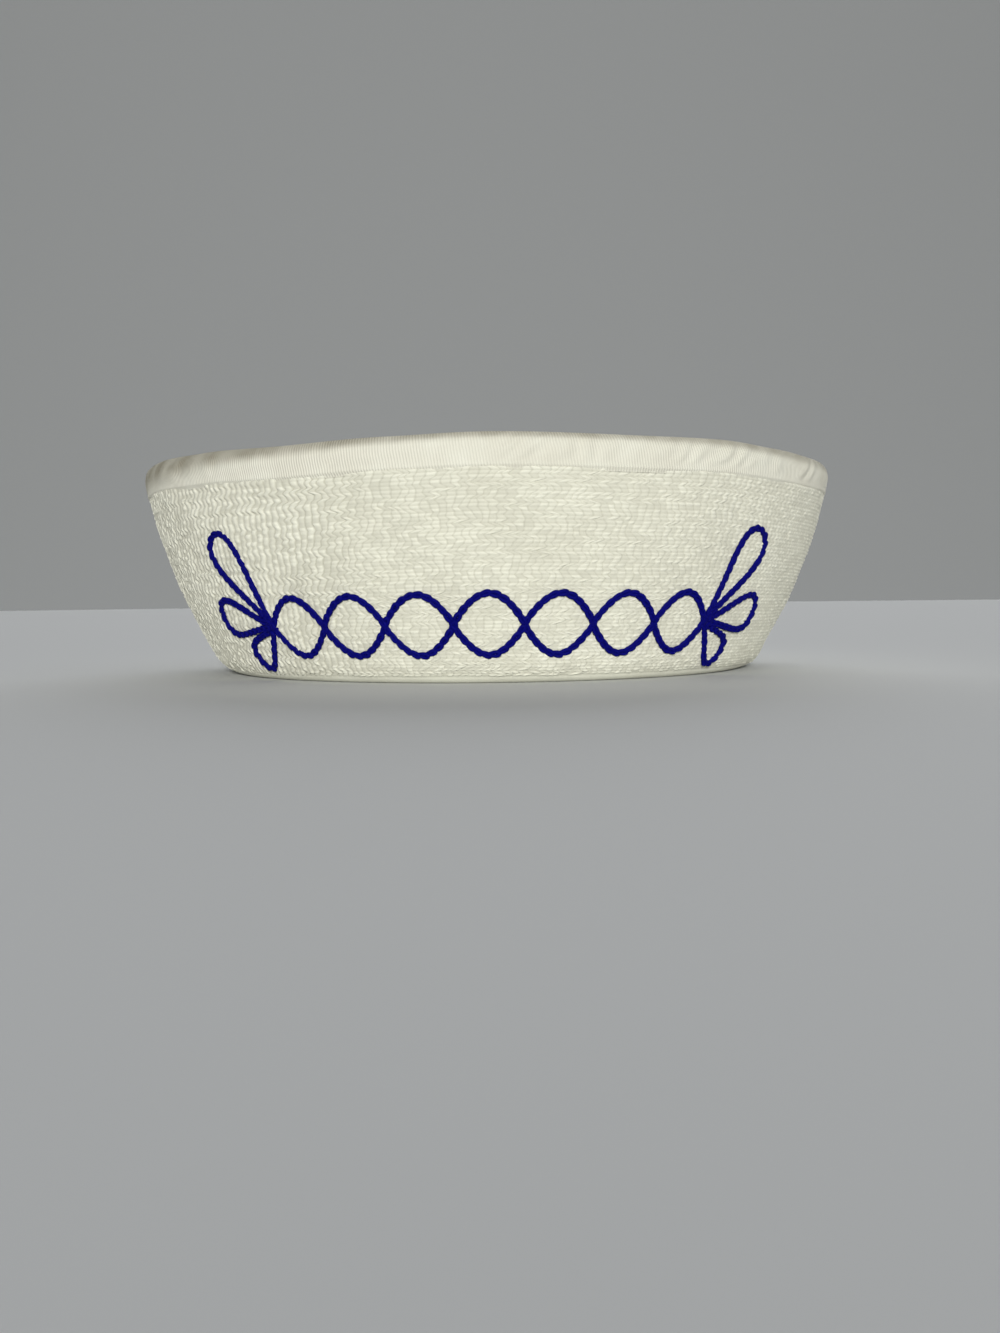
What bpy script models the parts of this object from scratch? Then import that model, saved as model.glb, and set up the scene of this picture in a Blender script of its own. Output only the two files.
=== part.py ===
"""Sailor cap: a round gored crown inside a tall upturned brim, standing on its folded foot.

The brim is one stiff band sewn through with close rows of stitching. It turns up from the crown's lower
edge in a soft fold, leans outwards and ends in a narrow cloth binding. The crown is made of equal gores
joined by felled seams. +Z is up, -Y is the cap's front, and the origin is the middle of the foot, on the
table. Lengths are in metres and angles in degrees.
"""

import math

import bmesh
import bpy
from mathutils import Vector

# The foot: the oval where the fold touches the table
FOOT_WIDTH = 0.1660
FOOT_LENGTH = 0.1942
FLANGE = 0.0030  # how far the fold runs inwards along the table, under the crown's edge

# The brim: lengths run along its outer face, upwards from the foot
BRIM_SLANT = 0.0764
BRIM_WALL = 0.0024
FOLD_RADIUS = 0.0104
SIDE_LEAN = 21.2  # mean lean from the vertical at the cap's two sides
BRIM_BOW = 10.2  # how much more it leans at the fold, and less at the rim

# The binding over the brim's top edge
BINDING_HEIGHT = 0.0090
BINDING_CLOTH = 0.0010
TONGUE_WALL = 0.0010  # the brim's thinned edge inside the binding

# The crown
CROWN_HEIGHT = 0.0740
CROWN_WALL = 0.0012
CROWN_INSET = 0.0015  # its outer face stands this far inside the foot's oval
CROWN_SHOULDER = 0.72  # 1 is a half ellipse, and less has squarer shoulders
SEAM_DRAW = 0.016  # share of its radius by which a seam is drawn in between two gores
SEAM_WIDTH = 0.0065
SEAM_RAISE = 0.0007
GORES = 6
GORE_TIP = 0.0012  # radius of the small hole that the gores' points leave at the top

GAP = 0.0003  # clearance between neighbouring pieces

# How fine the faceted surfaces are
BRIM_COLUMNS = 72
FOLD_ROWS = 5
WALL_ROWS = 8
ROLL_ROWS = 6
GORE_ROWS = 12
GORE_PANEL_COLUMNS = 8

# The rim's rises and dips: where round the rim, from the front towards +X, and as a share of the slant
RIM_WAVES = (
    {"turn": 0, "rise": 0.007},
    {"turn": 22, "rise": 0.000},
    {"turn": 38, "rise": 0.005},
    {"turn": 50, "rise": -0.004},
    {"turn": 62, "rise": -0.009},
    {"turn": 84, "rise": -0.006},
    {"turn": 110, "rise": -0.002},
    {"turn": 150, "rise": 0.003},
    {"turn": 190, "rise": -0.002},
    {"turn": 235, "rise": 0.002},
    {"turn": 272, "rise": 0.006},
    {"turn": 296, "rise": 0.010},
    {"turn": 310, "rise": 0.001},
    {"turn": 328, "rise": -0.011},
    {"turn": 345, "rise": -0.002},
)

# The materials: colour, roughness and metallic value
CLOTH = {
    "crown_twill": (0.80, 0.80, 0.69),
    "brim_cotton": (0.82, 0.82, 0.70),
    "binding_twill": (0.81, 0.81, 0.69),
}
CLOTH_ROUGHNESS = 0.85


def clear_scene():
    for old in list(bpy.data.objects):
        bpy.data.objects.remove(old, do_unlink=True)


def cloth(name):
    material = bpy.data.materials.new(name)
    material.use_nodes = True
    shader = material.node_tree.nodes["Principled BSDF"]
    shader.inputs["Base Color"].default_value = (*CLOTH[name], 1)
    shader.inputs["Roughness"].default_value = CLOTH_ROUGHNESS
    shader.inputs["Metallic"].default_value = 0
    return material


def foot_point(turn, outwards):
    """A point level with the foot's oval, this far outside it, and the oval's outward direction there."""
    half_width, half_length = FOOT_WIDTH / 2, FOOT_LENGTH / 2
    sine, cosine = math.sin(turn), math.cos(turn)
    normal = Vector((half_length * sine, -half_width * cosine, 0)).normalized()
    return Vector((half_width * sine, -half_length * cosine, 0)) + normal * outwards, normal


def mean_lean(turn):
    """A band of one cut leans out less where the foot bends more, so its lean follows the oval's curvature."""
    half_width, half_length = FOOT_WIDTH / 2, FOOT_LENGTH / 2
    stretch = math.hypot(half_width * math.cos(turn), half_length * math.sin(turn))
    curvature = half_width * half_length / stretch**3
    side_curvature = half_width / half_length**2
    return math.asin(math.sin(math.radians(SIDE_LEAN)) * side_curvature / curvature)


def rim_wave(turn):
    """The rim's rise at this turn, eased between the rows of RIM_WAVES."""
    degrees = math.degrees(turn) % 360
    rows = [*RIM_WAVES, {**RIM_WAVES[0], "turn": RIM_WAVES[0]["turn"] + 360}]
    for low, high in zip(rows, rows[1:]):
        if low["turn"] <= degrees <= high["turn"]:
            share = (degrees - low["turn"]) / (high["turn"] - low["turn"])
            eased = share * share * (3 - 2 * share)
            return low["rise"] + (high["rise"] - low["rise"]) * eased
    return 0


def arc_step(length, lean_from, lean_to):
    """How far out and up an arc of this length goes while its lean changes evenly."""
    half_turn = (lean_to - lean_from) / 2
    chord = length if half_turn == 0 else length * math.sin(half_turn) / half_turn
    middle = (lean_from + lean_to) / 2
    return chord * math.sin(middle), chord * math.cos(middle)


def brim_station(turn, length):
    """Where the brim's outer face is at this length up from the foot: out, up, and its lean there."""
    flat = math.pi / 2
    if length <= 0:
        return length, 0, flat
    bow = math.radians(BRIM_BOW)
    foot_lean = mean_lean(turn) + bow
    fold_length = FOLD_RADIUS * (flat - foot_lean)
    if length <= fold_length:
        lean = flat - length / FOLD_RADIUS
        return *arc_step(length, flat, lean), lean
    share = (length - fold_length) / (BRIM_SLANT - fold_length)
    lean = foot_lean - 2 * bow * share
    fold_out, fold_up = arc_step(fold_length, flat, foot_lean)
    wall_out, wall_up = arc_step(length - fold_length, foot_lean, lean)
    return fold_out + wall_out, fold_up + wall_up, lean


def brim_point(turn, length, depth=0, along=0):
    """A point in the brim: depth goes into it from the outer face, and along goes on up past that length."""
    waved = length * (1 + rim_wave(turn)) if length > 0 else length
    out, up, lean = brim_station(turn, waved)
    out += along * math.sin(lean) - depth * math.cos(lean)
    up += along * math.cos(lean) + depth * math.sin(lean)
    point, _ = foot_point(turn, out)
    return point + Vector((0, 0, up))


def brim_rows():
    """The lengths up the brim that its surface has a row of points at, each with its depth and its wall."""
    longest_fold = FOLD_RADIUS * (math.pi / 2 - math.radians(BRIM_BOW))
    wall_top = BRIM_SLANT - BINDING_HEIGHT - GAP
    recess = (BRIM_WALL - TONGUE_WALL) / 2
    tongue_top = BRIM_SLANT - roll_radius()
    rows = [{"length": -FLANGE, "depth": 0, "wall": BRIM_WALL}]
    for step in range(FOLD_ROWS + 1):
        rows.append({"length": longest_fold * step / FOLD_ROWS, "depth": 0, "wall": BRIM_WALL})
    for step in range(1, WALL_ROWS + 1):
        length = longest_fold + (wall_top - longest_fold) * step / WALL_ROWS
        rows.append({"length": length, "depth": 0, "wall": BRIM_WALL})
    rows.append({"length": wall_top + GAP, "depth": recess, "wall": TONGUE_WALL})
    rows.append({"length": tongue_top, "depth": recess, "wall": TONGUE_WALL})
    return rows


def roll_radius():
    """The outer radius of the binding where it rolls over the brim's edge."""
    return TONGUE_WALL / 2 + GAP + BINDING_CLOTH


def binding_section(turn):
    """The binding's outer face across one place on the rim: up the outside, over the edge, down the inside."""
    radius = roll_radius()
    leg_foot = BRIM_SLANT - BINDING_HEIGHT
    leg_top = BRIM_SLANT - radius
    middle = BRIM_WALL / 2
    points = [brim_point(turn, leg_foot, middle - radius)]
    for step in range(ROLL_ROWS + 1):
        angle = math.pi * step / ROLL_ROWS
        points.append(brim_point(turn, leg_top, middle - radius * math.cos(angle), radius * math.sin(angle)))
    points.append(brim_point(turn, leg_foot, middle + radius))
    return points


def crown_point(turn, rise, raised=0):
    """A point on the crown's outer face: rise is 0 at its lower edge and 90 degrees at the top."""
    base, normal = foot_point(turn, -CROWN_INSET)
    gore = 2 * math.pi / GORES
    from_seam = abs((turn / gore + 0.5) % 1 - 0.5) * 2
    drawn = SEAM_DRAW * math.cos(from_seam * math.pi / 2) ** 4 * math.sin(rise)
    narrowing = math.cos(rise) ** CROWN_SHOULDER * (1 - drawn)
    bottom = BRIM_WALL + GAP
    point = Vector((base.x * narrowing, base.y * narrowing, bottom + CROWN_HEIGHT * math.sin(rise)))
    outwards = (normal * math.cos(rise) + Vector((0, 0, math.sin(rise)))).normalized()
    return point + outwards * raised


def gore_columns(radius):
    """The turns across a gore at this radius, from its seam edge, and which of them lie on the felled seam."""
    gore = 2 * math.pi / GORES
    margin = math.asin(min(0.9, GAP / 2 / radius))
    usable = gore - 2 * margin
    seam = min(SEAM_WIDTH / radius, usable * 0.4)
    step = min(SEAM_RAISE / radius, usable * 0.1)
    columns = [(margin, True), (margin + seam, True)]
    panel = usable - seam - step
    for number in range(GORE_PANEL_COLUMNS + 1):
        columns.append((margin + seam + step + panel * number / GORE_PANEL_COLUMNS, False))
    return columns


def top_rise():
    """The rise at which the gores' points end, a small hole's radius from the middle."""
    mean_radius = (FOOT_WIDTH + FOOT_LENGTH) / 4 - CROWN_INSET
    return math.acos((GORE_TIP / mean_radius) ** (1 / CROWN_SHOULDER))


def sheet(name, rows, material, wall, walls=None, join_ends=False):
    """An open surface through rows of points, thickened inwards.

    It is a grid primitive whose points are moved to their places, and walls gives each row's share of wall.
    """
    across, up = len(rows[0]), len(rows)
    mesh = bpy.data.meshes.new(name)
    shape = bmesh.new()
    bmesh.ops.create_grid(shape, x_segments=across - 1, y_segments=up - 1, size=0.5)
    shape.verts.ensure_lookup_table()
    weights = shape.verts.layers.deform.verify()
    for vertex in shape.verts:
        column = round((vertex.co.x + 0.5) * (across - 1))
        row = round((vertex.co.y + 0.5) * (up - 1))
        vertex.co = rows[row][column]
        vertex[weights][0] = walls[row][column] if walls else 1
    if join_ends:
        bmesh.ops.remove_doubles(shape, verts=shape.verts, dist=GAP / 100)
    shape.to_mesh(mesh)
    shape.free()
    mesh.shade_smooth()
    mesh.set_sharp_from_angle(angle=math.radians(40))
    piece = bpy.data.objects.new(name, mesh)
    piece.data.materials.append(material)
    piece.vertex_groups.new(name="wall")
    thicken = piece.modifiers.new("wall", "SOLIDIFY")
    thicken.thickness = wall
    thicken.offset = -1
    thicken.use_even_offset = True
    thicken.use_quality_normals = True
    thicken.vertex_group = "wall"
    return piece


def ring_turns():
    return [2 * math.pi * column / BRIM_COLUMNS for column in range(BRIM_COLUMNS)] + [0]


def brim(material):
    stations = brim_rows()
    rows = [[brim_point(turn, row["length"], row["depth"]) for turn in ring_turns()] for row in stations]
    walls = [[row["wall"] / BRIM_WALL] * (BRIM_COLUMNS + 1) for row in stations]
    return sheet("brim", rows, material, BRIM_WALL, walls, join_ends=True)


def binding(material):
    sections = [binding_section(turn) for turn in ring_turns()]
    return sheet("brim_binding", list(zip(*sections)), material, BINDING_CLOTH, join_ends=True)


def crown_gore(number, material):
    """One gore, whose first edge is lapped over its neighbour as a felled seam, where its wall is thicker."""
    mean_radius = (FOOT_WIDTH + FOOT_LENGTH) / 4 - CROWN_INSET
    start = 2 * math.pi * number / GORES
    thick = CROWN_WALL + SEAM_RAISE
    rows, walls = [], []
    for step in range(GORE_ROWS + 1):
        rise = top_rise() * step / GORE_ROWS
        columns = gore_columns(mean_radius * math.cos(rise) ** CROWN_SHOULDER)
        rows.append([crown_point(start + turn, rise, SEAM_RAISE * on_seam) for turn, on_seam in columns])
        walls.append([1 if on_seam else CROWN_WALL / thick for _, on_seam in columns])
    return sheet(f"crown_gore_{number + 1}", rows, material, thick, walls)


def main():
    clear_scene()
    cap = bpy.data.collections.new("sailor_cap")
    bpy.context.scene.collection.children.link(cap)
    twill = cloth("crown_twill")
    pieces = [crown_gore(number, twill) for number in range(GORES)]
    pieces.append(brim(cloth("brim_cotton")))
    pieces.append(binding(cloth("binding_twill")))
    for piece in pieces:
        cap.objects.link(piece)


main()
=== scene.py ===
"""Sailor cap: the cloth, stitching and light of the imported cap.

Every place on the brim is given by three values: the turn round it from the front towards +X, the length
up its outer face from the foot, and the height out of that face. Lengths are in metres, angles in degrees
where they are named values and in radians in the functions.
"""

import math

import bpy
import numpy as np
from mathutils import Matrix


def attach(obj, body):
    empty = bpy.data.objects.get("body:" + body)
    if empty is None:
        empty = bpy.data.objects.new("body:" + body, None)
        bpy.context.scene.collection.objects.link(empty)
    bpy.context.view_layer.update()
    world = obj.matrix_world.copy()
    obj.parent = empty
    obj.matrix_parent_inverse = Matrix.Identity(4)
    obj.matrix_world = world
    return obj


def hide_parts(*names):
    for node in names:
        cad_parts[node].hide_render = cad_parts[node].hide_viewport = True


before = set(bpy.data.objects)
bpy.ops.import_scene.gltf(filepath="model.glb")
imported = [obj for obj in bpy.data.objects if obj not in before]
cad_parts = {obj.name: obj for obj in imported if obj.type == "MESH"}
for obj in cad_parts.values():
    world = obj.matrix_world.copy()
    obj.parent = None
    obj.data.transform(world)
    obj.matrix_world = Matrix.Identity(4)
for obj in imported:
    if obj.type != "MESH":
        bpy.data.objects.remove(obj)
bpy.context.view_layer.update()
FLAT = math.pi / 2  # the lean of cloth that lies flat

# The cap's driving sizes, as its solids have them
FOOT_WIDTH = 0.1660
FOOT_LENGTH = 0.1942
FLANGE = 0.0030
BRIM_SLANT = 0.0764
BRIM_WALL = 0.0024
FOLD_RADIUS = 0.0104
SIDE_LEAN = 21.2
BRIM_BOW = 10.2
BINDING_HEIGHT = 0.0090
BINDING_PROUD = 0.0006  # how far it stands out of the brim's two faces
CROWN_HEIGHT = 0.0740
CROWN_WALL = 0.0012
CROWN_INSET = 0.0015
CROWN_SHOULDER = 0.72
SEAM_DRAW = 0.016
SEAM_WIDTH = 0.0065
SEAM_RAISE = 0.0007
SEAM_LAP = 0.0003  # how far each gore goes in under or over its neighbour
GORES = 6
GORE_TIP = 0.0003  # radius at which the gores' points end
GAP = 0.0003
FOOT_RADIUS = (FOOT_WIDTH + FOOT_LENGTH) / 4  # the mean one
GORE_TURN = 2 * math.pi / GORES
WALL_TOP = BRIM_SLANT - BINDING_HEIGHT  # length up the brim of the binding's lower edge
RIM_WAVES = (
    {"turn": 0, "rise": 0.007},
    {"turn": 22, "rise": 0.000},
    {"turn": 38, "rise": 0.005},
    {"turn": 50, "rise": -0.004},
    {"turn": 62, "rise": -0.009},
    {"turn": 84, "rise": -0.006},
    {"turn": 110, "rise": -0.002},
    {"turn": 150, "rise": 0.003},
    {"turn": 190, "rise": -0.002},
    {"turn": 235, "rise": 0.002},
    {"turn": 272, "rise": 0.006},
    {"turn": 296, "rise": 0.010},
    {"turn": 310, "rise": 0.001},
    {"turn": 328, "rise": -0.011},
    {"turn": 345, "rise": -0.002},
)

# The brim's stitching: lines sewn round and round, and the cloth puffed up between them
FIRST_LINE = 0.0068  # length up the brim of the lowest line
LINE_PITCH = 0.0011
STITCHES_ROUND = 294
STITCH_LINES = int((WALL_TOP - FIRST_LINE) / LINE_PITCH) + 1
PUFF = 0.00060  # how high the cloth stands between two lines
PUFF_SIZES = (0.55, 1.15)  # the smallest and the largest, as shares of it
SEWN_DEPTH = 0.6  # how far in the lines are sewn, as a share of it
STITCH_DRIFT = 0.05  # how far each line's stitches lie ahead of those of the line below, as a share of one
WAVE_LINES = 3.6
# How the stitches of neighbouring lines lie to each other, by the turn, as shares of a stitch: in columns
# that wave from side to side over this many lines, staggered from line to line, or scattered; how high
# the cloth stands there between the lines, and the threads over them, as shares of a whole puff; and the
# share of its height that a puff loses in line with a needle hole, over 1 where it dips in there
STITCH_COLUMNS = ("turn", "wave", "stagger", "scatter", "height", "thread", "pinch")
STITCH_LAYOUT = [dict(zip(STITCH_COLUMNS, row)) for row in (
    (-180, 0.16, 0.10, 0.14, 0.95, 0.70, 0.80),
    (-95, 0.18, 0.03, 0.10, 1.35, 0.86, 1.20),
    (-38, 0.18, 0.03, 0.13, 1.22, 0.82, 1.08),
    (-18, 0.05, 0.10, 0.34, 0.95, 0.48, 0.55),
    (20, 0.03, 0.14, 0.34, 0.90, 0.42, 0.50),
    (38, 0.03, 0.24, 0.12, 0.95, 0.48, 0.60),
    (110, 0.10, 0.20, 0.10, 0.95, 0.55, 0.75),
    (180, 0.16, 0.10, 0.14, 0.95, 0.70, 0.80),
)]
LINE_STEPS = 3  # rows of points from one line to the next
STITCH_STEPS = (0, 0.17, 0.50, 0.83)  # a stitch's columns of points, from one needle hole to the next
OUTER_PIECES = 3
TUCK = 0.0015  # how far the brim's faces go on up under the binding
TUCK_DEPTH = 0.0007  # how far they draw in there
FLOOR_FADE = (0.002, 0.012)  # lengths up the brim over which its unevenness sets in above the floor
LAP_RISE = 0.00045  # how far the lap at the back stands out
LAP_REACH = 2.2  # degrees that it reaches to each side
SEAM_FADE = (0.02, 0.14)  # radians from the back over which the cloth's unevenness sets in
RIM_RADIUS = 0.1187  # the mean one, at the rim

# The cloth's soft unevenness, in layers: the size of its waves, their height and how many cross there
OUTER_UNEVENNESS = ((0.022, 0.00020, 14), (0.007, 0.00006, 14))
INNER_UNEVENNESS = ((0.022, 0.00018, 14),)
BINDING_UNEVENNESS = ((0.012, 0.00008, 14),)
CROWN_UNEVENNESS = ((0.035, 0.0006, 30), (0.012, 0.00015, 40))

# The binding's cloth
WALE_PITCH = 0.00088
LIP_HEIGHT = 0.0011
LIP_RISE = 0.00022
BINDING_SLACK = 0.0004  # how far its cloth stays inside the solid's faces
HEM_INSET = 0.0003  # how far inside the brim's face its lower edge starts
HEM_SPAN = (-0.0012, 0.0003)  # heights over which it comes out of the brim there
INNER_FOLDS = 0.6  # how deep its folds are on the inside, as a share
PUCKER_SWAY = 0.32  # how far the folds wander, as a share of their pitch
PUCKER_SWAY_SIZE = 0.020
# The soft slanting folds in it: where they lie, how far they spread, their pitch, depth and slant
PUCKERS = (
    {"turn": 10, "spread": 11, "pitch": 0.0078, "depth": 0.00034, "slant": 1.1},
    {"turn": 36, "spread": 9, "pitch": 0.0085, "depth": 0.00030, "slant": 1.3},
    {"turn": 58, "spread": 11, "pitch": 0.0125, "depth": 0.00028, "slant": 1.0},
    {"turn": 110, "spread": 20, "pitch": 0.0110, "depth": 0.00025, "slant": 0.9},
    {"turn": 168, "spread": 12, "pitch": 0.0080, "depth": 0.00030, "slant": 1.0},
    {"turn": 215, "spread": 22, "pitch": 0.0120, "depth": 0.00025, "slant": 0.8},
    {"turn": 268, "spread": 14, "pitch": 0.0130, "depth": 0.00020, "slant": 0.7},
    {"turn": 306, "spread": 10, "pitch": 0.0160, "depth": 0.00030, "slant": 0.6},
    {"turn": 342, "spread": 14, "pitch": 0.0140, "depth": 0.00015, "slant": 1.0},
)
# The binding's rolled edge, by the turn: how far it leans in over the brim, and how far down and how
# much it is darkened, as painted shade where the roll turns from the light and partly as soiling
ROLL_EDGE = (
    {"turn": -180, "leans": 0.0010, "reach": 0.0035, "soil_and_shade": 0.35},
    {"turn": -100, "leans": 0.0008, "reach": 0.0080, "soil_and_shade": 0.60},
    {"turn": -78, "leans": 0.0012, "reach": 0.0105, "soil_and_shade": 0.86},
    {"turn": -60, "leans": 0.0026, "reach": 0.0088, "soil_and_shade": 0.86},
    {"turn": -48, "leans": 0.0026, "reach": 0.0066, "soil_and_shade": 0.84},
    {"turn": -36, "leans": 0.0020, "reach": 0.0044, "soil_and_shade": 0.76},
    {"turn": -10, "leans": 0.0012, "reach": 0.0024, "soil_and_shade": 0.65},
    {"turn": 20, "leans": 0.0010, "reach": 0.0022, "soil_and_shade": 0.65},
    {"turn": 60, "leans": 0.0016, "reach": 0.0034, "soil_and_shade": 0.62},
    {"turn": 90, "leans": 0.0014, "reach": 0.0045, "soil_and_shade": 0.45},
    {"turn": 180, "leans": 0.0010, "reach": 0.0035, "soil_and_shade": 0.35},
)
ROLL_THINNING = 0.25  # how much thinner its top is than its lower part, as a share
ROLL_SPAN = (0.0042, 0.0088)  # heights over which it thins
ROLL_START = 0.0038  # height at which it begins to lean

# The crown's felled seams: each place across the strip, and how far it is raised there, as shares
SEAM_PROFILE = ((0, 0.6), (0.05, 1.0), (0.3, 0.92), (0.6, 0.92), (0.9, 1.0), (1, 0.7))
SEAM_SHARE = 0.4  # the most of a gore that a strip takes up near the top
SEAM_STEP = 0.0006  # width of the step down from the strip
SEAM_STITCHES = (0.14, 0.86)  # where its two lines of stitches lie, as shares of its width
CROWN_STITCH = 0.0024
CROWN_STITCH_WIDTH = 0.00022
CROWN_THREAD = 0.00020
CROWN_ARC = 1.2  # the length over the crown for each radian of rise, as a share of its height

# The ornament sewn on the front: a twist of two strands, with a trefoil at each end
THREAD_RADIUS = 0.00056
CHAIN_STITCH = 0.0027
CHAIN_WIDTH = 0.0027
TWIST_MIDDLE = 0.0235  # length up the brim of the twist's middle line
TWIST_HEIGHT = 0.0180
TWIST_EYE = 0.0205  # from one crossing of its strands to the next
TWIST_EYES = 7
ROUND_LEVEL = 0.035  # length up the brim at which distances round it are measured
PETALS = (
    {"heading": -40, "length": 0.0185, "width": 0.0105},
    {"heading": 8, "length": 0.0270, "width": 0.0125},
    {"heading": 58, "length": 0.0330, "width": 0.0135},
)

COTTON = (0.82, 0.82, 0.71)
COTTON_SHADE = (0.77, 0.765, 0.655)
# Painted shade: the dark colour that the stitches' needle holes and grooves are mixed towards, and the most
# of it that is mixed in
PIT_SHADE_COLOUR = (0.42, 0.41, 0.33)
PIT_SHADE_STRENGTH = 0.78
BINDING_COLOUR = (0.80, 0.795, 0.695)
BINDING_SHADE = (0.735, 0.72, 0.62)
CROWN_COLOUR = (0.80, 0.80, 0.69)
CROWN_SHADE = (0.74, 0.735, 0.62)
# Painted shade, with some soiling: the dark colour of the binding's rolled top and of the twill's furrows
SOIL_AND_SHADE = (0.26, 0.24, 0.18)
BLUE = (0.0016, 0.002, 0.145)

# The room and its lights, whose places are the turn round the cap and the height over the floor, in degrees
ROOM_RADIUS = 3.0
ROOM_HEIGHT = 4.0
ROOM_SIDES = 96
FLOOR_PAINT = (0.74, 0.755, 0.76)
WALL_PAINT = (0.235, 0.243, 0.246)
SUN_COLUMNS = ("name", "turn", "height", "strength", "width", "colour")
SUNS = [dict(zip(SUN_COLUMNS, row)) for row in (
    ("front_light", 0.5, 11, 3.08, 10, (1, 0.99, 0.965)),
    ("back_light", 176, 22, 1.3, 45, (0.96, 0.98, 1)),
    ("top_light", 100, 75, 0.35, 90, (0.98, 0.99, 1)),
)]
ROOM_LIGHT = (0.55, 0.57, 0.6)
ROOM_LIGHT_STRENGTH = 0.07

# The camera, whose lens is given by the photograph's size and the object's size in it
PHOTO_WIDTH = 1000
PHOTO_HEIGHT = 1333
FOCAL_PIXELS = 1588
VIEW_DISTANCE = 0.550
EYE_HEIGHT = 0.0255
EYE_LEVEL_PIXEL = (489.6, 593.2)  # where a point straight ahead, level with the camera, shows
CAMERA_ROLL = 0.66

random = np.random.default_rng(7)


def smooth_step(value, low, high):
    share = np.clip((value - low) / (high - low), 0, 1)
    return share * share * (3 - 2 * share)


def by_turn(table, column, turn):
    """A table's value at each turn from -180 to 180 degrees, straight between its rows."""
    return np.interp(np.degrees(turn), [row["turn"] for row in table], [row[column] for row in table])


def wander(along, across, size, count):
    """Soft random unevenness between about -1 and 1, whose hollows and rises are this size."""
    total = np.zeros(np.broadcast(along, across).shape)
    for _ in range(count):
        heading = random.uniform(0, 2 * math.pi)
        pitch = size * random.uniform(0.7, 1.8)
        start = random.uniform(0, 2 * math.pi)
        course = along * math.cos(heading) + across * math.sin(heading)
        total = total + np.sin(2 * math.pi * course / pitch + start)
    return total / math.sqrt(count)


def unevenness(layers, along, across):
    return sum(wander(along, across, size, count) * height for size, height, count in layers)


# Where things are

def foot_oval(turn, outwards):
    half_width, half_length = FOOT_WIDTH / 2, FOOT_LENGTH / 2
    sine, cosine = np.sin(turn), np.cos(turn)
    normal_x, normal_y = half_length * sine, -half_width * cosine
    size = np.hypot(normal_x, normal_y)
    return half_width * sine + normal_x / size * outwards, -half_length * cosine + normal_y / size * outwards


def mean_lean(turn):
    half_width, half_length = FOOT_WIDTH / 2, FOOT_LENGTH / 2
    stretch = np.hypot(half_width * np.cos(turn), half_length * np.sin(turn))
    curvature = half_width * half_length / stretch**3
    return np.arcsin(math.sin(math.radians(SIDE_LEAN)) * half_width / half_length**2 / curvature)


def rim_wave(turn):
    turns = np.array([row["turn"] for row in RIM_WAVES] + [RIM_WAVES[0]["turn"] + 360])
    rises = np.array([row["rise"] for row in RIM_WAVES] + [RIM_WAVES[0]["rise"]])
    degrees = np.degrees(turn) % 360
    low = np.clip(np.searchsorted(turns, degrees, side="right") - 1, 0, len(turns) - 2)
    share = (degrees - turns[low]) / (turns[low + 1] - turns[low])
    return rises[low] + (rises[low + 1] - rises[low]) * share * share * (3 - 2 * share)


def arc_step(length, lean_from, lean_to):
    half_turn = (lean_to - lean_from) / 2
    chord = length * np.sinc(half_turn / math.pi)
    middle = (lean_from + lean_to) / 2
    return chord * np.sin(middle), chord * np.cos(middle)


def brim_point(turn, length, height=0.0, along=0.0):
    """Points over the brim's outer face, where along goes on up past that length."""
    length = np.where(length > 0, length * (1 + rim_wave(turn)), length)
    bow = math.radians(BRIM_BOW)
    foot_lean = mean_lean(turn) + bow
    fold_length = FOLD_RADIUS * (FLAT - foot_lean)
    on_fold = np.clip(length, 0, fold_length)
    fold_lean = FLAT - on_fold / FOLD_RADIUS
    fold_out, fold_up = arc_step(on_fold, FLAT, fold_lean)
    on_wall = np.clip(length - fold_length, 0, None)
    lean = fold_lean - 2 * bow * on_wall / (BRIM_SLANT - fold_length)
    wall_out, wall_up = arc_step(on_wall, fold_lean, lean)
    out = np.minimum(length, 0) + fold_out + wall_out + along * np.sin(lean) + height * np.cos(lean)
    up = fold_up + wall_up + along * np.cos(lean) - height * np.sin(lean)
    x, y = foot_oval(turn, out)
    return np.stack(np.broadcast_arrays(x, y, up), axis=-1)


def turn_after(distance):
    """The turn at this distance round the brim from its front."""
    turns = np.linspace(-math.pi, math.pi, 1441)
    points = brim_point(turns, ROUND_LEVEL)
    steps = np.linalg.norm(np.diff(points, axis=0), axis=1)
    distances = np.concatenate([[0], np.cumsum(steps)])
    distances -= np.interp(0, turns, distances)
    return np.interp(distance, distances, turns)


def crown_radius(rise):
    """The crown's mean radius at this rise, which goes from 0 at its edge to a quarter turn at its top."""
    return (FOOT_RADIUS - CROWN_INSET) * np.cos(rise) ** CROWN_SHOULDER


def crown_point(turn, rise, raised):
    """Points over the crown, raised this far off its cloth."""
    x, y = foot_oval(turn, -CROWN_INSET)
    from_seam = np.abs((turn / GORE_TURN + 0.5) % 1 - 0.5) * 2
    drawn = SEAM_DRAW * np.cos(from_seam * FLAT) ** 4 * np.sin(rise)
    narrowing = np.cos(rise) ** CROWN_SHOULDER * (1 - drawn)
    up = BRIM_WALL + GAP + CROWN_HEIGHT * np.sin(rise)
    size = np.hypot(x, y)
    out_x, out_y = x / size * np.cos(rise), y / size * np.cos(rise)
    across = x * narrowing + out_x * raised
    ahead = y * narrowing + out_y * raised
    return np.stack(np.broadcast_arrays(across, ahead, up + np.sin(rise) * raised), axis=-1)


# Meshes

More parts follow.
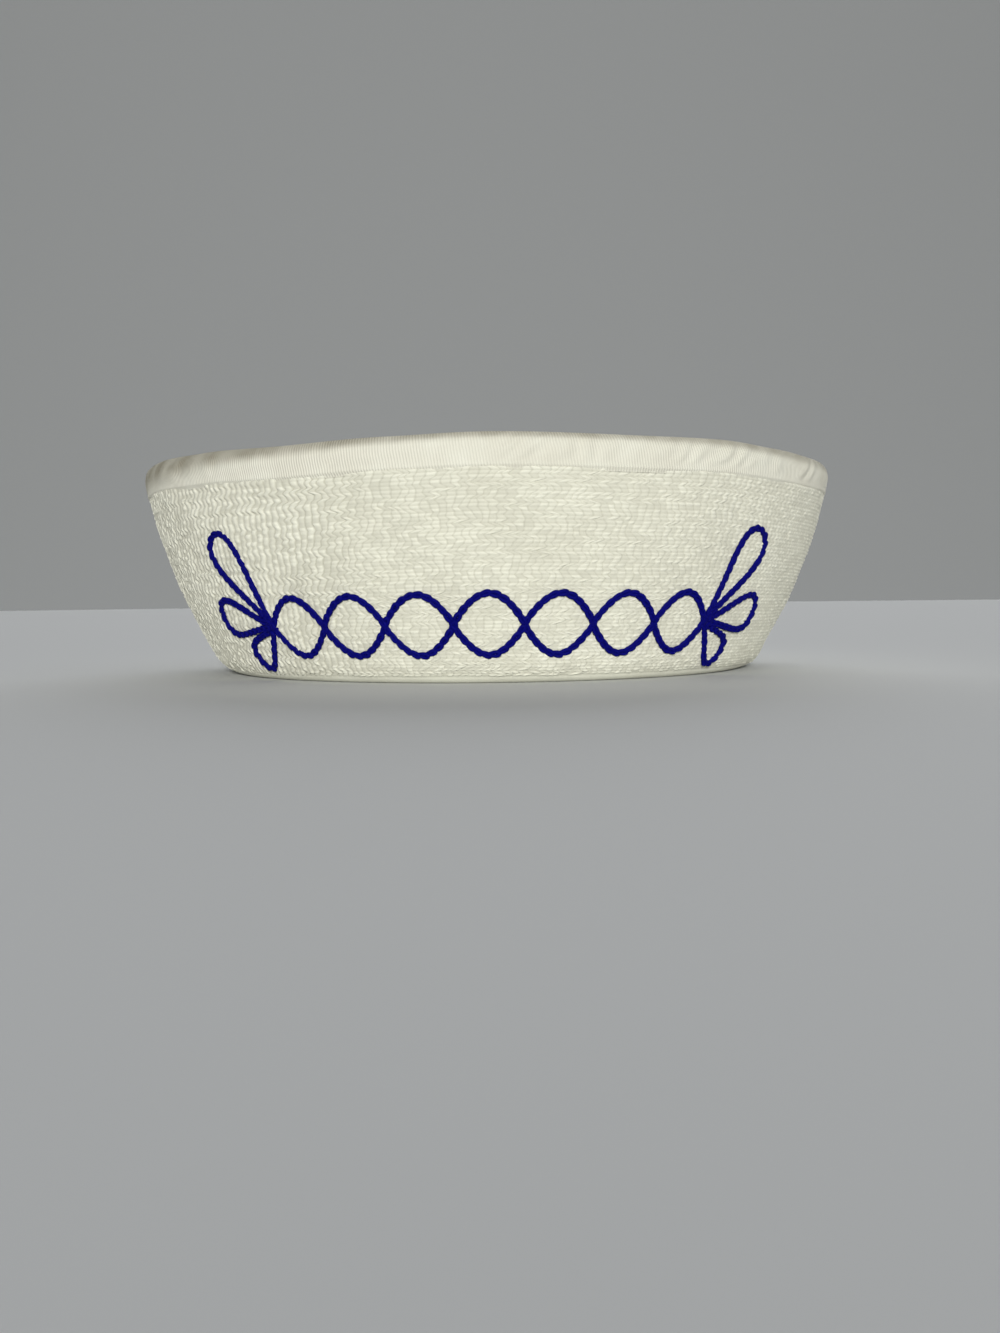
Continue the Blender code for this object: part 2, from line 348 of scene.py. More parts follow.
def grid_mesh(name, points, uv=None, normals=None):
    """A sheet of quads over a grid of points, whose faces look along columns x rows."""
    rows, columns = points.shape[:2]
    index = np.arange(rows * columns).reshape(rows, columns)
    quads = np.stack([index[:-1, :-1], index[:-1, 1:], index[1:, 1:], index[1:, :-1]], axis=-1).reshape(-1, 4)
    mesh = bpy.data.meshes.new(name)
    mesh.from_pydata(points.reshape(-1, 3), [], quads)
    if uv is not None:
        layer = mesh.uv_layers.new(name="cloth")
        layer.data.foreach_set("uv", uv.reshape(-1, 2)[quads.ravel()].astype(np.float32).ravel())
    mesh.shade_smooth()
    if normals is not None:
        mesh.normals_split_custom_set_from_vertices(normals.reshape(-1, 3))
    return mesh


def add_cloth_value(mesh, name, values):
    """Writes a value from 0 to 1 at each point, which the cloth's material reads."""
    layer = mesh.attributes.new(name, "FLOAT", "POINT")
    layer.data.foreach_set("value", values.astype(np.float32).ravel())


def add_piece(name, mesh, material, replaces=()):
    piece = bpy.data.objects.new(name, mesh)
    bpy.context.scene.collection.objects.link(piece)
    mesh.materials.append(material)
    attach(piece, "root")
    if replaces:
        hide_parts(*replaces)
    return piece


def grid_normals(points):
    """Unit normals of a grid of points that closes on itself along its columns."""
    ring = np.concatenate([points[:, -2:-1], points, points[:, 1:2]], axis=1)
    across = ring[:, 2:] - ring[:, :-2]
    up = np.gradient(points, axis=0)
    normals = np.cross(across, up)
    return normals / np.maximum(np.linalg.norm(normals, axis=-1, keepdims=True), 1e-12)


def tube_mesh(name, loops, radius, sides):
    """Closed rings of thread. Each loop is (points, normals): its points, and the way out of the cloth."""
    vertices, quads = [], []
    base = 0
    for centre, outwards in loops:
        count = len(centre)
        ahead = np.roll(centre, -1, axis=0) - np.roll(centre, 1, axis=0)
        ahead /= np.linalg.norm(ahead, axis=1, keepdims=True)
        sideways = np.cross(ahead, outwards)
        sideways /= np.linalg.norm(sideways, axis=1, keepdims=True)
        upwards = np.cross(sideways, ahead)
        angles = (2 * math.pi * np.arange(sides) / sides)[None, :, None]
        ring = np.cos(angles) * sideways[:, None] + np.sin(angles) * upwards[:, None]
        vertices.append((centre[:, None] + radius * ring).reshape(-1, 3))
        index = base + np.arange(count * sides).reshape(count, sides)
        ahead_index = np.roll(index, -1, axis=0)
        faces = np.stack([index, np.roll(index, -1, 1), np.roll(ahead_index, -1, 1), ahead_index], axis=-1)
        quads.append(faces.reshape(-1, 4))
        base += count * sides
    mesh = bpy.data.meshes.new(name)
    mesh.from_pydata(np.concatenate(vertices), [], np.concatenate(quads))
    mesh.shade_smooth()
    return mesh


# Materials

def new_material(name, colour, roughness, sheen=0.0, diffuse_roughness=0.20):
    material = bpy.data.materials.new(name)
    material.use_nodes = True
    nodes, links = material.node_tree.nodes, material.node_tree.links
    shader = nodes["Principled BSDF"]
    shader.inputs["Base Color"].default_value = (*colour, 1)
    shader.inputs["Roughness"].default_value = roughness
    shader.inputs["Sheen Weight"].default_value = sheen
    shader.inputs["Sheen Roughness"].default_value = 0.5
    shader.inputs["Diffuse Roughness"].default_value = diffuse_roughness
    shader.inputs["Specular IOR Level"].default_value = 0.15
    return material, nodes, links, shader


def node(nodes, kind, **settings):
    """A new node, with its properties, and its inputs where a setting's name is an input's."""
    made = nodes.new(kind)
    for name, value in settings.items():
        if hasattr(made, name):
            setattr(made, name, value)
        else:
            made.inputs[name.replace("_", " ")].default_value = value
    return made


def mottled(nodes, links, colour, shade, scale):
    """A colour with soft, slightly darker and yellower patches, read from where the cloth is."""
    place = nodes.new("ShaderNodeTexCoord")
    noise = node(nodes, "ShaderNodeTexNoise", Scale=scale, Detail=4.0, Roughness=0.6)
    links.new(place.outputs["Object"], noise.inputs["Vector"])
    ramp = nodes.new("ShaderNodeValToRGB")
    ramp.color_ramp.elements[0].position = 0.32
    ramp.color_ramp.elements[0].color = (*shade, 1)
    ramp.color_ramp.elements[1].position = 0.68
    ramp.color_ramp.elements[1].color = (*colour, 1)
    links.new(noise.outputs["Fac"], ramp.inputs["Fac"])
    return place, ramp


def fuzz_bump(nodes, links, place, scale, distance, strength):
    noise = node(nodes, "ShaderNodeTexNoise", Scale=scale, Detail=3.0, Roughness=0.7)
    links.new(place.outputs["Object"], noise.inputs["Vector"])
    bump = node(nodes, "ShaderNodeBump", Strength=strength, Distance=distance)
    links.new(noise.outputs["Fac"], bump.inputs["Height"])
    return bump


def stitched_cotton():
    material, nodes, links, shader = new_material("stitched_cotton", COTTON, 0.88, sheen=0.02)
    place, ramp = mottled(nodes, links, COTTON, COTTON_SHADE, 55)
    # Painted shade: the cloth is mixed towards a dark colour by how deep each point lies in the stitches'
    # holes and grooves
    pit_shade = node(nodes, "ShaderNodeAttribute", attribute_name="pit_shade")
    depth = node(nodes, "ShaderNodeMath", operation="MULTIPLY")
    depth.inputs[1].default_value = PIT_SHADE_STRENGTH
    links.new(pit_shade.outputs["Fac"], depth.inputs[0])
    mix = node(nodes, "ShaderNodeMix", data_type="RGBA")
    links.new(depth.outputs[0], mix.inputs["Factor"])
    links.new(ramp.outputs["Color"], mix.inputs["A"])
    mix.inputs["B"].default_value = (*PIT_SHADE_COLOUR, 1)
    links.new(mix.outputs["Result"], shader.inputs["Base Color"])
    bump = fuzz_bump(nodes, links, place, 2600, 0.00016, 0.6)
    links.new(bump.outputs["Normal"], shader.inputs["Normal"])
    return material


def twill(name, colour, shade, wale, lean):
    """Twill, whose wales follow the mesh's own map, with painted shade in the furrows between its wales, and
    darker where the mesh's value for the rolled edge is high, as painted shade with some soiling.
    """
    material, nodes, links, shader = new_material(name, colour, 0.86, sheen=0.02)
    place, ramp = mottled(nodes, links, colour, shade, 70)
    cloth_map = node(nodes, "ShaderNodeUVMap", uv_map="cloth")
    turned = node(nodes, "ShaderNodeMapping")
    turned.inputs["Rotation"].default_value = (0, 0, math.radians(lean))
    links.new(cloth_map.outputs["UV"], turned.inputs["Vector"])
    wales = node(nodes, "ShaderNodeTexWave", Scale=math.pi / 10 / wale, Distortion=0.5, Detail=1.0)
    wales.inputs["Detail Scale"].default_value = 3.0
    links.new(turned.outputs["Vector"], wales.inputs["Vector"])
    fuzz = fuzz_bump(nodes, links, place, 2600, 0.0001, 0.5)
    bump = node(nodes, "ShaderNodeBump", Strength=0.7, Distance=0.00025)
    links.new(wales.outputs["Fac"], bump.inputs["Height"])
    links.new(fuzz.outputs["Normal"], bump.inputs["Normal"])
    links.new(bump.outputs["Normal"], shader.inputs["Normal"])
    # Painted shade on the binding's rolled top, with some soiling, made patchy
    soil_and_shade = node(nodes, "ShaderNodeAttribute", attribute_name="soil_and_shade")
    patches = node(nodes, "ShaderNodeTexNoise", Scale=120.0, Detail=3.0)
    links.new(place.outputs["Object"], patches.inputs["Vector"])
    patchy = node(nodes, "ShaderNodeMapRange", From_Min=0.35, From_Max=0.65, To_Min=0.65, To_Max=1.0)
    links.new(patches.outputs["Fac"], patchy.inputs["Value"])
    amount = node(nodes, "ShaderNodeMath", operation="MULTIPLY")
    links.new(soil_and_shade.outputs["Fac"], amount.inputs[0])
    links.new(patchy.outputs["Result"], amount.inputs[1])
    # Painted shade in the furrows between the wales
    furrow_shade = node(nodes, "ShaderNodeMapRange", From_Min=0.0, From_Max=0.5, To_Min=0.16, To_Max=0.0)
    links.new(wales.outputs["Fac"], furrow_shade.inputs["Value"])
    darker = node(nodes, "ShaderNodeMath", operation="ADD")
    links.new(amount.outputs[0], darker.inputs[0])
    links.new(furrow_shade.outputs["Result"], darker.inputs[1])
    mix = node(nodes, "ShaderNodeMix", data_type="RGBA")
    links.new(darker.outputs[0], mix.inputs["Factor"])
    links.new(ramp.outputs["Color"], mix.inputs["A"])
    mix.inputs["B"].default_value = (*SOIL_AND_SHADE, 1)
    links.new(mix.outputs["Result"], shader.inputs["Base Color"])
    return material


def thread_material(name, colour, sheen):
    material, nodes, links, shader = new_material(name, colour, 0.70, sheen=sheen)
    shader.inputs["Specular IOR Level"].default_value = 0.06
    place = nodes.new("ShaderNodeTexCoord")
    noise = node(nodes, "ShaderNodeTexNoise", Scale=900.0, Detail=2.0)
    links.new(place.outputs["Object"], noise.inputs["Vector"])
    ramp = nodes.new("ShaderNodeValToRGB")
    ramp.color_ramp.elements[0].color = (*(0.6 * part for part in colour), 1)
    ramp.color_ramp.elements[1].color = (*(1.35 * part for part in colour), 1)
    links.new(noise.outputs["Fac"], ramp.inputs["Fac"])
    links.new(ramp.outputs["Color"], shader.inputs["Base Color"])
    bump = fuzz_bump(nodes, links, place, 4000, 0.0001, 0.6)
    links.new(bump.outputs["Normal"], shader.inputs["Normal"])
    return material


# The brim

def ring_turns(count):
    """Turns once round the cap from its back, where the band's two ends meet, to its back again."""
    return np.linspace(-math.pi, math.pi, count + 1)


def stitch_phases(turns):
    """How far each line's stitches are moved round the brim, as a share of one stitch, at each turn."""
    line = np.arange(STITCH_LINES)[:, None]
    wave = by_turn(STITCH_LAYOUT, "wave", turns[None])
    stagger = by_turn(STITCH_LAYOUT, "stagger", turns[None])
    scatter = by_turn(STITCH_LAYOUT, "scatter", turns[None])
    sway = np.sin(2 * math.pi * line / WAVE_LINES + 3 * turns[None])
    start = random.uniform(0, 2 * math.pi, (STITCH_LINES, 1))
    cycles = random.integers(5, 12, (STITCH_LINES, 1))
    ripples = random.integers(24, 60, (STITCH_LINES, 1))
    swing = np.sin(cycles * turns[None] + start) + 0.9 * np.sin(ripples * turns[None] + 2 * start)
    swing = swing + random.uniform(-1.3, 1.3, (STITCH_LINES, 1))
    return STITCH_DRIFT * line + wave * sway + stagger * (-1.0) ** line + scatter * swing


def seam_lap(turn):
    """The raised lap at the back where the band's ends are joined: 1 on it and 0 off it."""
    lap = math.radians(LAP_REACH)
    from_back = np.abs(turn) - math.pi
    return smooth_step(from_back, -lap, -lap * 0.85)


def off_seam(turn):
    """0 where the cloth's two ends meet at the back, and 1 away from there."""
    return smooth_step(math.pi - np.abs(turn), *SEAM_FADE)


def outer_surface():
    """The brim's outer face as points, their map and their painted shade in the stitches' pits: plain at the
    fold, stitched above it.
    """
    columns = STITCHES_ROUND * len(STITCH_STEPS)
    spots = np.arange(STITCHES_ROUND)[:, None] + np.array(STITCH_STEPS)[None]
    turns = 2 * math.pi * np.append(spots.ravel(), STITCHES_ROUND) / STITCHES_ROUND - math.pi
    phases = stitch_phases(turns)
    plain = np.linspace(-FLANGE, FIRST_LINE, 12)[:-1]
    steps = np.arange((STITCH_LINES - 1) * LINE_STEPS + 1)
    share = steps % LINE_STEPS / LINE_STEPS
    line = steps // LINE_STEPS
    above = np.minimum(line + 1, STITCH_LINES - 1)
    eased = (share * share * (3 - 2 * share))[:, None]
    phase = phases[line] * (1 - eased) + phases[above] * eased
    stitched = FIRST_LINE + LINE_PITCH * steps / LINE_STEPS
    top = np.array([WALL_TOP + GAP, WALL_TOP + TUCK])

    hole = (np.arange(columns + 1) % len(STITCH_STEPS) == 0).astype(float)[None]
    stitch = np.arange(columns + 1) // len(STITCH_STEPS) % STITCHES_ROUND
    puff_size = random.uniform(*PUFF_SIZES, (STITCH_LINES, STITCHES_ROUND))[line][:, stitch]
    ridge = np.sin(math.pi * share)[:, None] ** 0.75
    pinch = by_turn(STITCH_LAYOUT, "pinch", turns[None])
    puffs = PUFF * ridge * (1 - pinch * hole) * puff_size
    thread_height = PUFF * by_turn(STITCH_LAYOUT, "thread", turns[None])
    thread = thread_height * (share == 0)[:, None] * (1 - hole) * puff_size
    relief = puffs + thread

    lengths = np.concatenate([plain, stitched, top])
    height = np.zeros((len(lengths), columns + 1))
    shift = np.zeros_like(height)
    lively = by_turn(STITCH_LAYOUT, "height", turns[None])
    height[len(plain):len(plain) + len(steps)] = (relief - PUFF * SEWN_DEPTH) * lively
    shift[:len(plain)] = phase[:1] * smooth_step(plain, 0, FIRST_LINE)[:, None]
    shift[len(plain):len(plain) + len(steps)] = phase
    shift[len(plain) + len(steps):] = phase[-1:]
    turn_grid = turns[None] + shift * (2 * math.pi / STITCHES_ROUND)
    distance = turn_grid * FOOT_RADIUS
    uneven = unevenness(OUTER_UNEVENNESS, distance, lengths[:, None]) * off_seam(turn_grid)
    off_floor = smooth_step(lengths, *FLOOR_FADE)[:, None]
    in_sight = 1 - smooth_step(lengths, WALL_TOP, WALL_TOP + GAP)[:, None]
    # Painted shade in the stitches' pits: the lower a point lies below a whole puff, the darker
    pit_shades = np.zeros_like(height)
    pit_shades[len(plain):len(plain) + len(steps)] = (1 - relief / PUFF) * lively
    height = height + uneven * off_floor * in_sight
    height += LAP_RISE * seam_lap(turn_grid) * off_floor * in_sight
    height -= TUCK_DEPTH * (1 - in_sight)
    uv = np.stack([distance, np.broadcast_to(lengths[:, None], distance.shape)], axis=-1)
    return brim_point(turn_grid, lengths[:, None], height), uv, np.clip(pit_shades, 0, 1)


def make_brim_outside(material):
    points, uv, pit_shades = outer_surface()
    normals = grid_normals(points)
    columns = points.shape[1] - 1
    for number in range(OUTER_PIECES):
        part = slice(columns * number // OUTER_PIECES, columns * (number + 1) // OUTER_PIECES + 1)
        name = f"brim_outside_{number + 1}"
        mesh = grid_mesh(name, points[:, part], uv[:, part], normals[:, part])
        add_cloth_value(mesh, "pit_shade", pit_shades[:, part])
        add_piece(name, mesh, material, ("brim",))


def make_brim_inside(material):
    """The brim's inner face and the flange's inner edge, with the same lines sewn through."""
    columns = STITCHES_ROUND * 2
    turns = ring_turns(columns)
    steps = np.arange((STITCH_LINES - 1) * 2 + 1)
    phases = stitch_phases(turns)
    phase = (phases[steps // 2] + phases[np.minimum((steps + 1) // 2, STITCH_LINES - 1)]) / 2
    hole = (np.arange(columns + 1) % 2 == 0).astype(float)[None]
    ridge = (steps % 2)[:, None]
    thread_height = PUFF * by_turn(STITCH_LAYOUT, "thread", turns[None])
    pinch = by_turn(STITCH_LAYOUT, "pinch", turns[None])
    relief = PUFF * ridge * (1 - pinch * hole) + thread_height * (1 - ridge) * (1 - hole) - PUFF * SEWN_DEPTH
    stitched = FIRST_LINE + LINE_PITCH * steps / 2
    foot = np.linspace(-FLANGE, FIRST_LINE, 10)[:-1]
    lengths = np.concatenate([[-FLANGE], foot, stitched, [WALL_TOP + GAP, WALL_TOP + TUCK]])
    inwards = np.full((len(lengths), columns + 1), BRIM_WALL)
    inwards[0] = 0
    first = 1 + len(foot)
    inwards[first:first + len(steps)] += relief
    inwards[-2:] -= TUCK_DEPTH
    shift = np.zeros_like(inwards)
    shift[first:first + len(steps)] = phase
    shift[-2:] = phase[-1:]
    turn_grid = turns[None] + shift * (2 * math.pi / STITCHES_ROUND)
    distance = turn_grid * FOOT_RADIUS
    off_foot = smooth_step(lengths, FIRST_LINE, FIRST_LINE + 0.01)[:, None]
    uneven = unevenness(INNER_UNEVENNESS, distance, lengths[:, None])
    inwards += uneven * off_foot * off_seam(turn_grid)
    points = brim_point(turn_grid, lengths[:, None], -inwards)
    uv = np.stack([distance, np.broadcast_to(lengths[:, None], distance.shape)], axis=-1)
    mesh = grid_mesh("brim_inside", points[:, ::-1], uv[:, ::-1], -grid_normals(points)[:, ::-1])
    # Painted shade in the stitches' pits on the inner face: the lower a point lies below a whole puff, the
    # darker
    pit_shades = np.zeros_like(inwards)
    pit_shades[first:first + len(steps)] = np.clip(1 - (relief + PUFF * SEWN_DEPTH) / PUFF, 0, 1)
    add_cloth_value(mesh, "pit_shade", pit_shades[:, ::-1])
    add_piece("brim_inside", mesh, material, ("brim",))


# The binding

def pucker_height(turn, distance, up):
    """The binding's slanting folds, which fade towards its lower edge and away from each group's middle."""
    total = np.zeros(np.broadcast(distance, up).shape)
    for row in PUCKERS:
        away = (np.degrees(turn) - row["turn"] + 180) % 360 - 180
        fade = np.exp(-((away / row["spread"]) ** 2))
        sway = PUCKER_SWAY * wander(distance, up, PUCKER_SWAY_SIZE, 6)
        course = (distance - up * row["slant"]) / row["pitch"] + sway
        total = total + row["depth"] * fade * np.sin(2 * math.pi * course + math.radians(row["turn"]))
    return total * smooth_step(up, 0.0004, 0.0035)


def make_binding(material):
    """The folded strip: up the outside, rolled softly over the edge, and down the inside."""
    radius = BRIM_WALL / 2 + BINDING_PROUD
    leg = BINDING_HEIGHT - radius
    outer = np.array([-11, -7, -3, 1, 4, 8, 13, 18, 24, 31, 39, 48, 56, 64]) * 0.0001
    outer = np.append(outer, leg)
    inner = outer[::-1]
    roll = np.linspace(0, math.pi, 15)[1:-1]
    turns = ring_turns(960)[None]
    across = np.concatenate([outer, leg + radius * roll, leg + radius * math.pi + leg - inner])[:, None]
    distance = turns * RIM_RADIUS
    angle = np.concatenate([np.zeros(len(outer)), roll, np.full(len(inner), math.pi)])[:, None]
    up = np.concatenate([outer, np.full(len(roll), leg), inner])[:, None] + radius * np.sin(angle)
    lean = by_turn(ROLL_EDGE, "leans", turns)
    lip = LIP_RISE * np.exp(-(((up - 0.3 * LIP_HEIGHT) / (0.55 * LIP_HEIGHT)) ** 2))
    folds = pucker_height(turns, distance, up) * off_seam(turns)
    folds = np.where(angle > FLAT, -folds * INNER_FOLDS, folds)
    uneven = unevenness(BINDING_UNEVENNESS, distance, across)
    uneven = uneven * smooth_step(up, 0.0004, 0.002) * off_seam(turns)
    thinned = (radius - BINDING_SLACK) * (1 - ROLL_THINNING * smooth_step(up, *ROLL_SPAN))
    proud = thinned + lip + folds + uneven
    hidden = BRIM_WALL / 2 - HEM_INSET
    proud = hidden + (proud - hidden) * smooth_step(up, *HEM_SPAN)
    leant = lean * np.clip((up - ROLL_START) / (BINDING_HEIGHT - ROLL_START), 0, 1) ** 2
    leg_height = np.cos(angle) * proud - BRIM_WALL / 2 - leant
    base = WALL_TOP + np.minimum(up, leg)
    points = brim_point(turns, base, leg_height, np.sin(angle) * radius)
    uv = np.stack(np.broadcast_arrays(distance, across), axis=-1)
    mesh = grid_mesh("binding_strip", points, uv, grid_normals(points))
    # Painted shade with some soiling: the rolled top is darkened from its edge down, over a reach that
    # changes round the cap
    reach = by_turn(ROLL_EDGE, "reach", turns)
    from_top = BINDING_HEIGHT - up + np.where(angle > FLAT, -0.001, 0)
    soil_and_shade = by_turn(ROLL_EDGE, "soil_and_shade", turns) * (1 - smooth_step(from_top, 0.25 * reach, reach))
    add_cloth_value(mesh, "soil_and_shade", soil_and_shade)
    add_piece("binding_strip", mesh, material, ("brim_binding",))


# The crown

def seam_span(radius):
    """The part of a turn that a felled seam takes up, which narrows softly towards the crown's top."""
    full = SEAM_WIDTH / radius
    most = SEAM_SHARE * 2 * math.pi / GORES
    return (full**-3 + most**-3) ** (-1 / 3)


def make_crown(material):
    """Each gore, with its edge folded and felled over its neighbour, and soft unevenness in its cloth."""
    top = math.acos((GORE_TIP / (FOOT_RADIUS - CROWN_INSET)) ** (1 / CROWN_SHOULDER))
    rises = (np.linspace(0, 1, 56) ** 0.9 * top)[:, None]
    radius = crown_radius(rises)
    margin = -SEAM_LAP / radius * smooth_step(radius, 0.002, 0.006)
    seam = seam_span(radius)
    step = np.minimum(SEAM_STEP / radius, (GORE_TURN - 2 * margin) * 0.05)
    panel = GORE_TURN - 2 * margin - seam - step
    columns = [margin + seam * share for share, _ in SEAM_PROFILE]
    raised = [height for _, height in SEAM_PROFILE]
    for share in np.linspace(0, 1, 34):
        columns.append(margin + seam + step + panel * share)
        raised.append(0.0)
    turns = np.concatenate(columns, axis=1)
    raised = np.array(raised)[None] * SEAM_RAISE
    from_strip = smooth_step((turns - margin - seam) * radius, 0, 0.006)
    from_end = smooth_step((GORE_TURN - margin - turns) * radius, 0.0005, 0.008)
    on_panel = (raised == 0) * from_strip * from_end
    for number in range(GORES):
        turn = turns + GORE_TURN * number
        distance = turn * radius
        length = rises * CROWN_HEIGHT * CROWN_ARC
        soft = unevenness(CROWN_UNEVENNESS, distance, length)
        points = crown_point(turn, rises, raised + soft * on_panel * np.cos(rises) ** 0.3)
        uv = np.stack(np.broadcast_arrays((turn - GORE_TURN * (number + 0.5)) * radius, length), axis=-1)
        name = f"crown_cloth_{number + 1}"
        mesh = grid_mesh(name, points, uv)
        piece = add_piece(name, mesh, material, (f"crown_gore_{number + 1}",))
        thicken = piece.modifiers.new("wall", "SOLIDIFY")
        thicken.thickness = CROWN_WALL
        thicken.offset = -1


def stitch_run(points, normals, length, radius):
    """Short closed rings of thread along a line of points, each lying flat on the cloth."""
    steps = np.linalg.norm(np.diff(points, axis=0), axis=1)
    distances = np.concatenate([[0], np.cumsum(steps)])
    loops = []
    for start in np.arange(0, distances[-1] - length, length):
        ends = start + length * np.array([0.12, 0.88])
        spots = np.stack([np.interp(ends, distances, points[:, axis]) for axis in range(3)], axis=1)
        out = np.array([np.interp(start + length / 2, distances, normals[:, axis]) for axis in range(3)])
        out /= np.linalg.norm(out)
        ahead = spots[1] - spots[0]
        sideways = np.cross(ahead, out)
        sideways *= radius / np.linalg.norm(sideways)
        middle = (spots[0] + spots[1]) / 2
        ring = np.array([spots[0], middle + sideways, spots[1], middle - sideways])
        loops.append((ring + out * radius * 0.3, np.repeat(out[None], 4, axis=0)))
    return loops


def make_crown_stitches(material):
    """Two lines of stitches down each felled seam."""
    rises = np.linspace(0.02, 1.42, 240)
    seam = seam_span(crown_radius(rises))
    loops = []
    for number in range(GORES):
        for share in SEAM_STITCHES:
            turn = GORE_TURN * number + seam * share
            line = crown_point(turn, rises, SEAM_RAISE)
            out = crown_point(turn, rises, SEAM_RAISE + 0.001) - line
            loops += stitch_run(line, out, CROWN_STITCH, CROWN_STITCH_WIDTH)
    mesh = tube_mesh("crown_topstitching", loops, CROWN_THREAD, 4)
    add_piece("crown_topstitching", mesh, material)


# The ornament

def twist_strands():
    """The twist's two strands, as lines of (distance round the brim, length up it)."""
    half = TWIST_EYE * TWIST_EYES / 2
    along = np.linspace(-half, half, 900)
    wave = np.sin(math.pi * (along + half) / TWIST_EYE)
    swing = TWIST_HEIGHT / 2 * np.sign(wave) * np.abs(wave) ** 0.85
    return [np.stack([along, TWIST_MIDDLE + side * swing], axis=1) for side in (-1, 1)]


def petal(root, heading, length, width):
    """A closed leaf-shaped loop that leaves its root along this heading."""
    share = np.linspace(0, 1, 160)
    ahead = length * np.sin(math.pi * share) ** 0.9
    sideways = -width / 2 * np.sin(2 * math.pi * share) * (0.55 + 0.45 * np.sin(math.pi * share))
    cosine, sine = math.cos(heading), math.sin(heading)
    along = root[0] + ahead * cosine - sideways * sine
    up = root[1] + ahead * sine + sideways * cosine
    return np.stack([along, up], axis=1)


def ornament_lines():
    lines = twist_strands()
    half = TWIST_EYE * TWIST_EYES / 2
    for side in (-1, 1):
        root = (side * half, TWIST_MIDDLE)
        for row in PETALS:
            angle = math.radians(row["heading"])
            heading = angle if side > 0 else math.pi - angle
            lines.append(petal(root, heading, row["length"], row["width"]))
    return lines


def chain_loops(line):
    """One ring of thread for each chain stitch on the line, each starting inside the one before."""
    steps = np.linalg.norm(np.diff(line, axis=0), axis=1)
    distances = np.concatenate([[0], np.cumsum(steps)])
    count = max(2, round(distances[-1] / CHAIN_STITCH))
    stitch = distances[-1] / count
    angles = 2 * math.pi * np.arange(16) / 16
    loops = []
    for number in range(count):
        middle = stitch * (number + 0.5)
        spot = np.array([np.interp(middle, distances, line[:, axis]) for axis in range(2)])
        back = np.array([np.interp(middle - stitch / 2, distances, line[:, axis]) for axis in range(2)])
        ahead = spot - back
        ahead /= np.linalg.norm(ahead)
        sideways = np.array([-ahead[1], ahead[0]])
        reach = stitch * 0.66 * np.cos(angles)
        fullness = random.uniform(0.85, 1.15)
        half_width = (CHAIN_WIDTH / 2 - THREAD_RADIUS) * (0.62 + 0.38 * np.cos(angles)) * fullness
        flat = spot + reach[:, None] * ahead + (half_width * np.sin(angles))[:, None] * sideways
        turn = turn_after(flat[:, 0])
        lift = THREAD_RADIUS * (0.75 + 0.45 * np.cos(angles))
        centre = brim_point(turn, flat[:, 1], lift)
        out = brim_point(turn, flat[:, 1], lift + 0.001) - centre
        loops.append((centre, out / np.linalg.norm(out, axis=1, keepdims=True)))
    return loops


def make_ornament(material):
    loops = [loop for line in ornament_lines() for loop in chain_loops(line)]
    mesh = tube_mesh("ornament_chain_stitch", loops, THREAD_RADIUS, 6)
    add_piece("ornament_chain_stitch", mesh, material)


# The room, the lights and the camera

def add_stage(name, points, paint, normals=None):
    stage = bpy.data.objects.new(name, grid_mesh(name, points, normals=normals))
    material, *_ = new_material(f"{name}_paint", paint, 0.9, diffuse_roughness=0.0)
    stage.data.materials.append(material)
    bpy.context.scene.collection.objects.link(stage)
    return stage


def make_room():
    """A pale round floor, and a plain wall all round it that lets the lights through."""
    turns = np.linspace(2 * math.pi, 0, ROOM_SIDES + 1)
    ring = np.stack([np.cos(turns), np.sin(turns), np.zeros_like(turns)], axis=-1)
    add_stage("floor", np.stack([ring * 0, ring * ROOM_RADIUS / 2, ring * ROOM_RADIUS]), FLOOR_PAINT)
    wall_points = np.stack([ring * ROOM_RADIUS, ring * ROOM_RADIUS + (0, 0, ROOM_HEIGHT)])
    wall = add_stage("wall", wall_points, WALL_PAINT, np.stack([-ring, -ring]))
    wall.visible_shadow = False
    wall.visible_diffuse = False


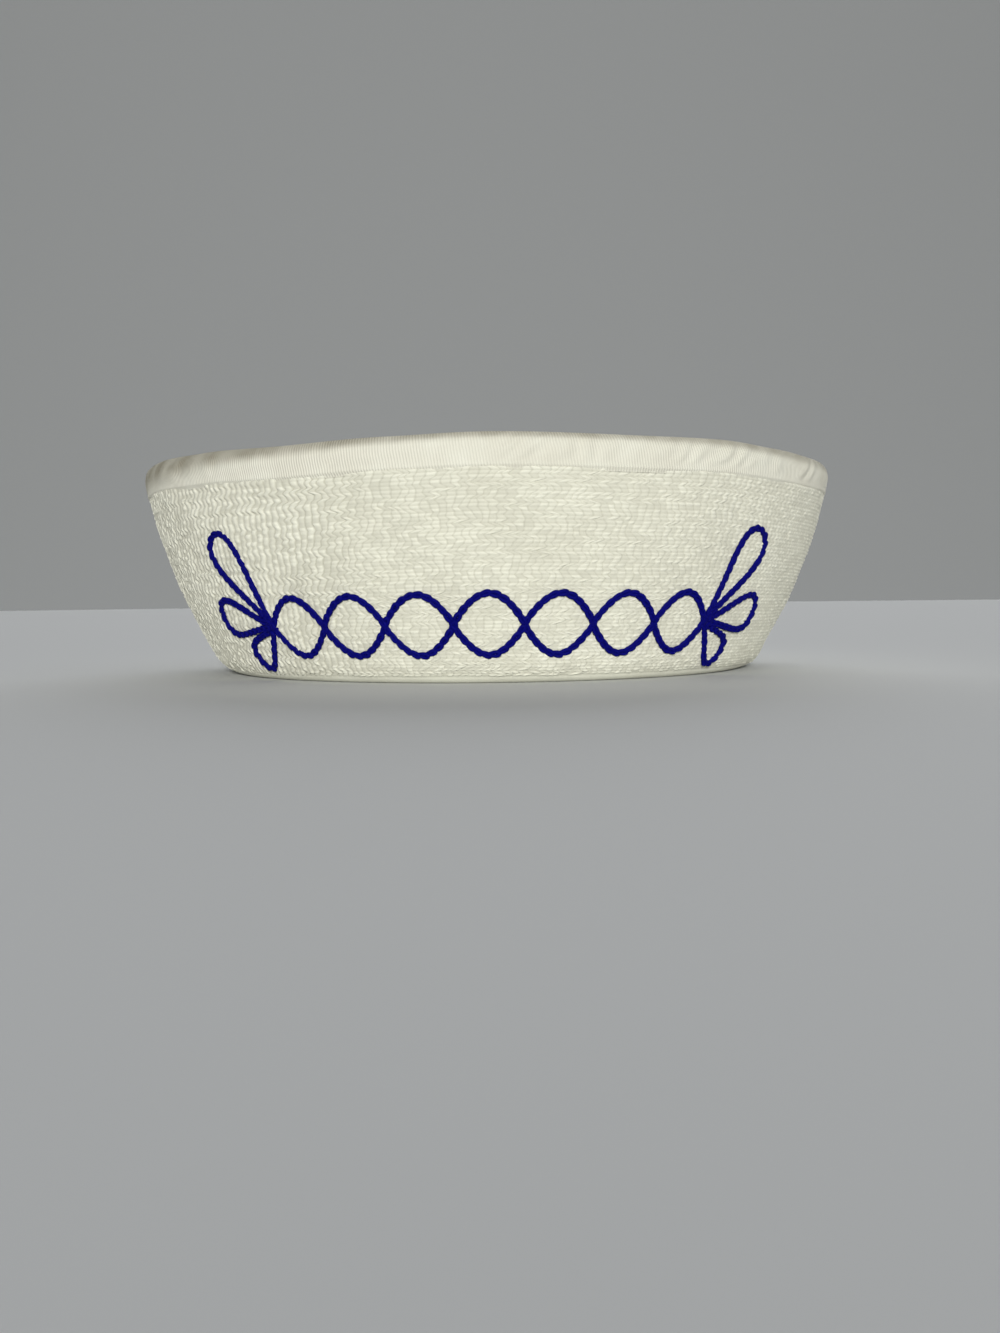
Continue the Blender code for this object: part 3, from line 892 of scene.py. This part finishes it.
def add_sun(name, turn, height, strength, width, colour):
    """Light from far away, whose width is how wide it looks from the cap, in degrees."""
    data = bpy.data.lights.new(name, "SUN")
    data.energy = strength
    data.angle = math.radians(width)
    data.color = colour
    light = bpy.data.objects.new(name, data)
    light.rotation_euler = (math.radians(90 - height), 0, math.radians(turn))
    bpy.context.scene.collection.objects.link(light)


def make_lights():
    for sun in SUNS:
        add_sun(**sun)
    world = bpy.data.worlds.new("soft_room")
    world.use_nodes = True
    world.node_tree.nodes["Background"].inputs["Color"].default_value = (*ROOM_LIGHT, 1)
    world.node_tree.nodes["Background"].inputs["Strength"].default_value = ROOM_LIGHT_STRENGTH
    bpy.context.scene.world = world
    bpy.context.scene.view_settings.view_transform = "Standard"


def make_camera():
    """The camera of the photograph: its axis goes through the picture's middle."""
    data = bpy.data.cameras.new("camera")
    data.lens = data.sensor_width * FOCAL_PIXELS / PHOTO_HEIGHT
    data.clip_start = 0.01
    camera = bpy.data.objects.new("camera", data)
    right = math.atan((PHOTO_WIDTH / 2 - EYE_LEVEL_PIXEL[0]) / FOCAL_PIXELS)
    down = math.atan((PHOTO_HEIGHT / 2 - EYE_LEVEL_PIXEL[1]) / FOCAL_PIXELS)
    turned = Matrix.Rotation(-right, 4, "Z") @ Matrix.Rotation(FLAT - down, 4, "X")
    rolled = turned @ Matrix.Rotation(-math.radians(CAMERA_ROLL), 4, "Z")
    camera.matrix_world = Matrix.Translation((0, -VIEW_DISTANCE, EYE_HEIGHT)) @ rolled
    bpy.context.scene.collection.objects.link(camera)
    bpy.context.scene.camera = camera


def main():
    cotton = stitched_cotton()
    make_brim_outside(cotton)
    make_brim_inside(cotton)
    make_binding(twill("binding_twill_cloth", BINDING_COLOUR, BINDING_SHADE, WALE_PITCH, -10))
    crown_cloth = twill("crown_twill_cloth", CROWN_COLOUR, CROWN_SHADE, WALE_PITCH, 35)
    make_crown(crown_cloth)
    make_crown_stitches(thread_material("cotton_thread", COTTON, 0.02))
    make_ornament(thread_material("blue_thread", BLUE, 0.0))
    make_room()
    make_lights()
    make_camera()


main()
